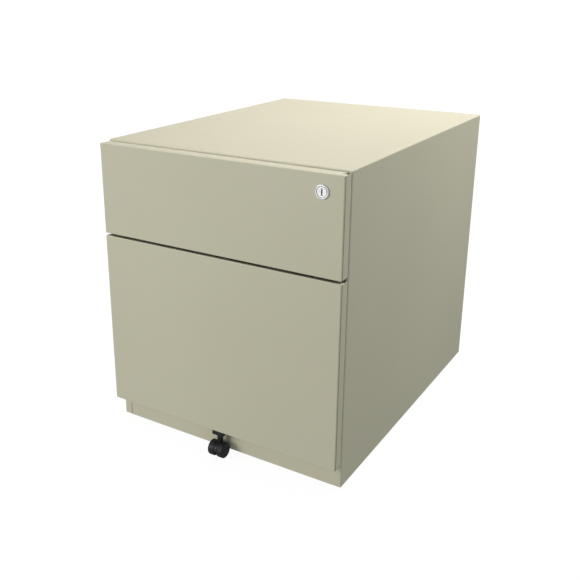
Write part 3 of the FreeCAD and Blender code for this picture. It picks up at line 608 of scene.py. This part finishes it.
def make_lock():
    """The lock's threaded body, with its bezel and the sunk ring round the plug."""
    low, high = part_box("lock_barrel")
    plug_low, plug_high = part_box("lock_plug")
    axis = (low + high) / 2
    bezel = (high.x - low.x) / 2
    plug = (plug_high.x - plug_low.x) / 2
    bore, well, body = plug + PLUG_CLEARANCE, plug + WELL_WIDTH, plug + BODY_WALL
    length = high.y - low.y
    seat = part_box("upper_front_outer")[0].y - low.y
    profile = [(bore, length)]
    profile += [(bore + out * MM, back * MM) for out, back in BORE_CHAMFER]
    profile += [(well + out * MM, back * MM) for out, back in WELL_WALL]
    profile += [(bezel - inward * MM, back * MM) for inward, back in BEZEL_ROUND]
    profile += [(bezel, seat - BEZEL_BACK_CHAMFER), (bezel - BEZEL_BACK_CHAMFER, seat)]
    profile += [(body, seat + (length - seat) * i / BODY_ROWS) for i in range(BODY_ROWS)]
    profile.append((body - BODY_END_CHAMFER, length))

    def thread(point):
        radius = math.hypot(point.x, point.y)
        if point.z <= seat + BODY_THREAD_MARGIN or radius < body - BODY_THREAD_MARGIN:
            return point
        return threaded(point, BODY_PITCH, BODY_THREAD_SHARE)

    build = Build()
    build.turned(facing((axis.x, low.y, axis.z), (0, 1, 0)), profile, BODY_STEPS, thread, closed=True)
    build.finish("lock_body", "upper_drawer", "chrome", ("lock_barrel",))


# ---- castors
CORNERS = ("front_left", "front_right", "rear_left", "rear_right")
FREE_BORE = 2.05 * MM       # of a wheel that turns on its axle
PRESSED_BORE = 2.0 * MM
AXLE_RADIUS = 1.98 * MM
AXLE_END = 3.2 * MM         # from a wheel's outer face to the end of the pressed axle
BORE_END = 3.0 * MM         # the same, to the end of the bore
WHEEL_ROUND = 2.3 * MM      # between the tread and the outer face
ROUND_STEPS = 8
# The tread, in millimetres in from the radius and out from the inner face.
WHEEL_TREAD = ((1.6, 0.0), (0.6, 0.15), (0.12, 0.6), (0.0, 1.3),
               (0.0, 3.9), (0.14, 4.05), (0.14, 4.25), (0.0, 4.4))
# The dished face and its cap, in shares of the radius and millimetres in from the outer face.
WHEEL_FACE = ((0.74, 0.02), (0.70, 0.10), (0.68, 0.45), (0.64, 0.55), (0.42, 0.75),
              (0.38, 0.70), (0.36, 0.22), (0.32, 0.10), (0.18, 0.02), (0.0, 0.0))
WHEEL_STEPS = 72
AXLE_STEPS = 24


def add_wheel(build, centre, side, inner, outer, radius, bore):
    """A twin wheel's half: crowned tread with a parting groove, a dished face and a pressed cap."""
    profile = [(bore, inner)]
    profile += [(radius - down * MM, inner + out * MM) for down, out in WHEEL_TREAD]
    for i in range(ROUND_STEPS + 1):
        turn = math.pi / 2 * i / ROUND_STEPS
        profile.append((radius - WHEEL_ROUND + WHEEL_ROUND * math.cos(turn),
                        outer - WHEEL_ROUND + WHEEL_ROUND * math.sin(turn)))
    profile += [(share * radius, outer - back * MM) for share, back in WHEEL_FACE]
    profile += [(0.0, outer - BORE_END), (bore, outer - BORE_END)]
    build.turned(facing(centre, (side, 0, 0)), profile, WHEEL_STEPS, closed=True)


def make_castors():
    """Wheels of all five castors. The fifth's turn one by one, and the others are pressed on an axle."""
    low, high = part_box("fifth_castor_right_wheel")
    inner, outer = low.x, high.x
    radius = (high.z - low.z) / 2
    centre = (low + high) / 2
    for word, side in SIDES.items():
        build = Build()
        add_wheel(build, (0.0, centre.y, centre.z), side, inner, outer, radius, FREE_BORE)
        build.finish("fifth_" + word + "_wheel_capped", "fifth_" + word + "_wheel", "black_nylon",
                     ("fifth_castor_" + word + "_wheel",))
    reach = outer - AXLE_END
    axle = [(0.0, -reach), (AXLE_RADIUS, -reach), (AXLE_RADIUS, reach), (0.0, reach)]
    for corner in CORNERS:
        low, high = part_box(corner + "_castor_wheels")
        centre = (low + high) / 2
        build = Build()
        for side in SIDES.values():
            add_wheel(build, centre, side, inner, outer, radius, PRESSED_BORE)
        build.turned(facing(centre, (1, 0, 0)), axle, AXLE_STEPS)
        build.finish(corner + "_wheels_capped", corner + "_wheels", "black_nylon",
                     (corner + "_castor_wheels",))


# ---- studio
FLOOR_INNER = 2.0           # radius of the floor's first ring
FLOOR_REACH = 24.0          # flat floor, then a cove that rises into the backdrop
COVE_RADIUS = 16.0
BACKDROP_HEIGHT = 3 * COVE_RADIUS
COVE_STEPS = 16
TURN_STEPS = 96
FLOOR_PALE, FLOOR_DEEP = (0.10, 0.10, 0.10), (0.09, 0.09, 0.09)
GLOW_NEAR, GLOW_FAR = 0.955, 1.0
GLOW_START, GLOW_END = 0.5, 2.4     # distances between which the glow rises
STUDIO_CENTRE = Vector((0.0, 0.0, 0.25))
WHITE = (1.0, 1.0, 1.0)
LIGHTS = (                  # name, azimuth, elevation, distance, size, watts, tint
    ("key_front_left", -30.0, 15.0, 3.2, 1.6, 39.0, WHITE),
    ("overhead_behind_left", -150.0, 50.0, 3.2, 1.6, 36.6, (1.0, 0.907, 0.87)),
    ("near_behind_right", 135.0, 50.0, 1.5, 0.8, 11.4, WHITE),
)
SKY_TINT = (0.96, 1.0, 1.0)
SKY_STRENGTH = 0.294
# At each of these turns one card stands below the cabinet's middle and one above it; power is in watts.
CARD_TURNS = (-32, 58, 148, 238)
CARD_RISE = 22.0
CARD_DISTANCE = 2.0
CARD_SIZE = 1.6
CARD_POWER = 6.0


def studio_white():
    """White from its own glow, a little stronger far off, over a dull base that takes a faint shadow."""
    g = Graph("studio_white")
    length = g.add("ShaderNodeVectorMath", operation="LENGTH")
    g.join(g.place, length.inputs[0])
    g.set("Base Color", g.blend(g.noise(3.0), FLOOR_PALE, FLOOR_DEEP))
    g.set("Roughness", 0.9)
    g.set("Specular IOR Level", 0.0)
    g.set("Emission Color", WHITE)
    g.set("Emission Strength", g.ramp(length.outputs["Value"], GLOW_NEAR, GLOW_FAR, GLOW_START, GLOW_END))
    return g.material


def make_studio():
    """A round floor and cove that throw no light on the cabinet and don't show in it."""
    profile = [(FLOOR_INNER, 0.0), (FLOOR_REACH, 0.0)]
    for step in range(1, COVE_STEPS + 1):
        turn = math.pi * step / COVE_STEPS / 2
        profile.append((FLOOR_REACH + COVE_RADIUS * math.sin(turn), COVE_RADIUS * (1 - math.cos(turn))))
    profile.append((FLOOR_REACH + COVE_RADIUS, BACKDROP_HEIGHT))
    turns = [2 * math.pi * i / TURN_STEPS for i in range(TURN_STEPS)]
    points = [(r * math.cos(turn), r * math.sin(turn), z) for r, z in profile for turn in turns]
    faces = [tuple(range(TURN_STEPS))]
    for ring in range(len(profile) - 1):
        low, high = ring * TURN_STEPS, (ring + 1) * TURN_STEPS
        for i in range(TURN_STEPS):
            j = (i + 1) % TURN_STEPS
            faces.append((low + i, high + i, high + j, low + j))
    mesh = bpy.data.meshes.new("studio")
    mesh.from_pydata(points, [], faces)
    mesh.polygons.foreach_set("use_smooth", [True] * len(faces))
    mesh.materials.append(studio_white())
    studio = bpy.data.objects.new("studio", mesh)
    scene.collection.objects.link(studio)
    studio.visible_diffuse = False
    studio.visible_glossy = False
    studio.visible_shadow = False


def soft_light(name, azimuth, elevation, distance, size, power, tint):
    """A square softbox. Azimuth 0 is in front of the cabinet and 90 on its right."""
    a, e = math.radians(azimuth), math.radians(elevation)
    away = Vector((math.sin(a) * math.cos(e), -math.cos(a) * math.cos(e), math.sin(e)))
    light = bpy.data.lights.new(name, "AREA")
    light.shape = "SQUARE"
    light.size = size
    light.energy = power
    light.color = tint
    lamp = bpy.data.objects.new(name, light)
    scene.collection.objects.link(lamp)
    lamp.location = STUDIO_CENTRE + away * distance
    lamp.rotation_euler = away.to_track_quat("Z", "Y").to_euler()
    return lamp


def make_lights():
    for row in LIGHTS:
        soft_light(*row)
    world = bpy.data.worlds.new("studio")
    world.use_nodes = True
    background = world.node_tree.nodes["Background"]
    background.inputs["Color"].default_value = (*SKY_TINT, 1.0)
    background.inputs["Strength"].default_value = SKY_STRENGTH
    scene.world = world
    scene.view_settings.view_transform = "Standard"


def make_reflection_cards():
    """White cards that only the bare metal reflects, as a white floor and walls would be."""
    bare = {materials["zinc"].name, materials["chrome"].name}
    metal = bpy.data.collections.new("bare_metal")
    for thing in scene.objects:
        if thing.type == "MESH" and bare & set(thing.data.materials.keys()):
            metal.objects.link(thing)
    for turn in CARD_TURNS:
        for word, rise in (("low", -CARD_RISE), ("high", CARD_RISE)):
            name = "card_" + str(turn % 360) + "_" + word
            card = soft_light(name, turn, rise, CARD_DISTANCE, CARD_SIZE, CARD_POWER, WHITE)
            card.light_linking.receiver_collection = metal
            card.visible_diffuse = False


make_camera()
dress_cad_nodes()
make_fasteners()
make_slides()
make_lock()
make_castors()
make_studio()
make_lights()
make_reflection_cards()
bpy.context.view_layer.update()
